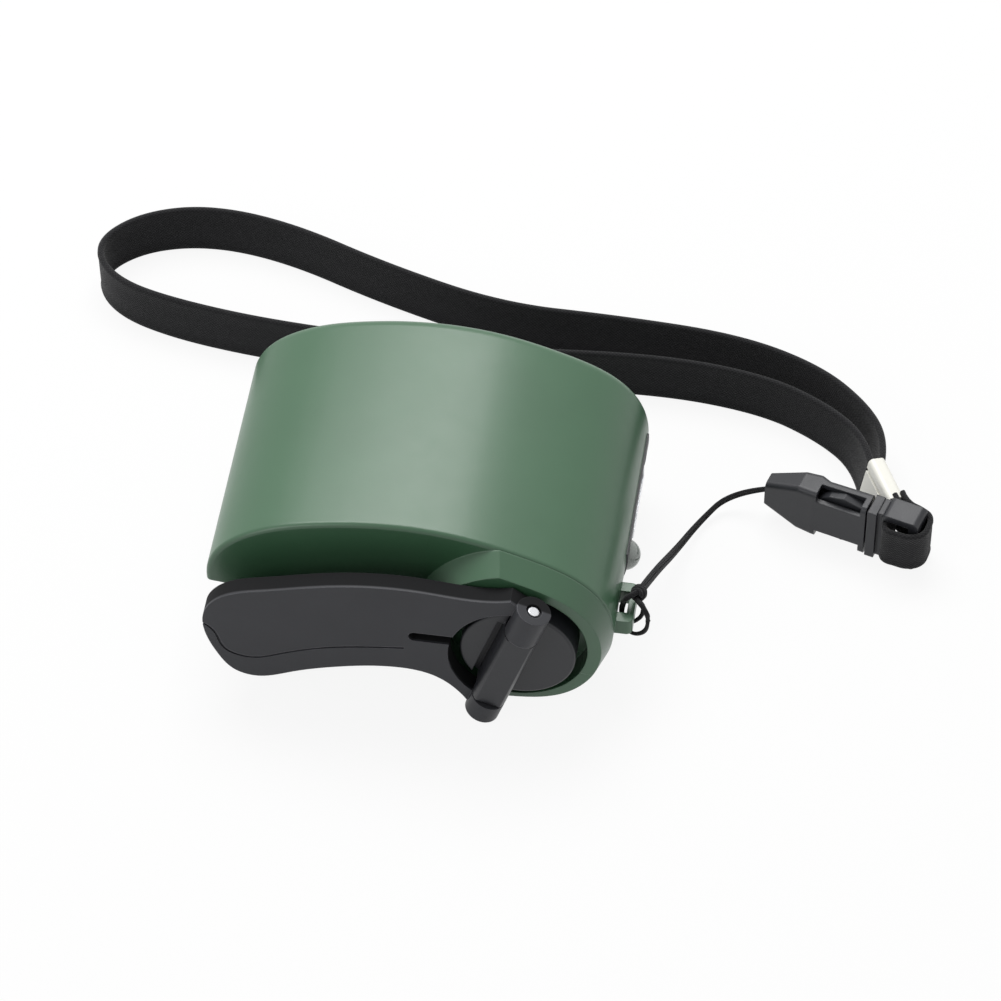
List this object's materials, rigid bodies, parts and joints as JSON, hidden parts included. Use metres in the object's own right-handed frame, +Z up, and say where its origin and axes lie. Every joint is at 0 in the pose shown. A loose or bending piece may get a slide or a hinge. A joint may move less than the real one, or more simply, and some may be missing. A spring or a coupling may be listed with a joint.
{
  "type": "hand crank generator",
  "caption": "Pocket hand-cranked generator in a bean-shaped case, with a fold-away crank arm, a lamp and a power socket in its side, and a wrist strap on a buckle.",
  "frame": {"origin": "centre of the body's bounding box on the surface it rests on, cords left out", "axes": "+X along the body from the free end of the folded arm to the hub, +Y from the crank face to the back, +Z up"},
  "size_m": [0.1407, 0.0969, 0.0323],
  "materials": {
    "green_shell": "semi-gloss grey-green moulding",
    "black_moulding": "satin charcoal moulding",
    "panel_black": "satin black",
    "steel": "plain bright steel",
    "brass": "plain",
    "nylon": "natural nylon",
    "lens": "clear lamp moulding",
    "board": "solder-masked laminate",
    "chip": "black package",
    "ferrite": "dark ferrite",
    "cell_sleeve": "shrink sleeve",
    "lead_red": "wire insulation",
    "lead_black": "wire insulation",
    "white_moulding": "cream-white moulding",
    "copper": null,
    "iron": "laminated iron",
    "webbing": "woven black webbing"
  },
  "bodies": {
    "housing": {"upper_housing": "green_shell", "lower_housing": "green_shell", "housing_screws": "steel", "side_panel": "panel_black", "usb_socket": "steel", "usb_tongue": "chip", "led_lamp": "lens", "led_leads": "steel", "circuit_board": "board", "board_screws": "steel", "rectifier_chip": "chip", "storage_coil": "ferrite", "storage_cell": "cell_sleeve", "generator_lead_red": "lead_red", "generator_lead_black": "lead_black", "gear_plate": "steel", "plate_screws": "steel", "crank_bush": "brass", "idler_pin_1": "steel", "idler_pin_2": "steel", "generator_can": "steel", "generator_magnets": "ferrite", "generator_end_cap": "white_moulding", "generator_brushes": "chip", "wrist_strap": "webbing", "phone_cord": "webbing", "lanyard_knot": "webbing", "lanyard_loop": "webbing", "buckle_socket": "black_moulding", "buckle_plug": "black_moulding", "strap_crimp": "white_moulding", "strap_tab": "webbing"},
    "crank": {"hub_disc": "black_moulding", "crank_shaft": "steel", "shaft_clip": "steel", "drive_gear": "nylon"},
    "arm": {"crank_arm": "black_moulding", "hinge_pin": "steel", "knob_axle": "steel"},
    "knob": {"finger_knob": "black_moulding"},
    "idler_1": {"idler_gear_1": "nylon"},
    "idler_2": {"idler_gear_2": "nylon"},
    "rotor": {"armature_core": "iron", "armature_winding": "copper", "commutator": "copper", "rotor_shaft": "steel", "rotor_pinion": "brass"}
  },
  "joints": [
    {"name": "crank_spin", "type": "hinge", "parent": "housing", "child": "crank", "pos_m": [0.0163, -0.01705, 0.0135], "axis": [0, 1, 0], "continuous": true},
    {"name": "arm_fold", "type": "hinge", "parent": "crank", "child": "arm", "pos_m": [0.015, -0.02465, 0.0135], "axis": [0.309, 0, 0.9511], "range_deg": [0, 180]},
    {"name": "knob_spin", "type": "hinge", "parent": "arm", "child": "knob", "pos_m": [-0.025, -0.02165, 0.0129], "axis": [0, 1, 0], "continuous": true},
    {"name": "idler_1_spin", "type": "hinge", "parent": "housing", "child": "idler_1", "pos_m": [0.00381, -0.01205, 0.0171], "axis": [0, 1, 0], "continuous": true},
    {"name": "idler_2_spin", "type": "hinge", "parent": "housing", "child": "idler_2", "pos_m": [-0.00718, -0.00905, 0.01749], "axis": [0, 1, 0], "continuous": true},
    {"name": "rotor_spin", "type": "hinge", "parent": "housing", "child": "rotor", "pos_m": [-0.01812, 0.00295, 0.01628], "axis": [0, 1, 0], "continuous": true}
  ],
  "couplings": [
    {"joint": "idler_1_spin", "follows": "crank_spin", "ratio": -4.2},
    {"joint": "idler_2_spin", "follows": "crank_spin", "ratio": 14.28},
    {"joint": "rotor_spin", "follows": "crank_spin", "ratio": -48.552}
  ]
}
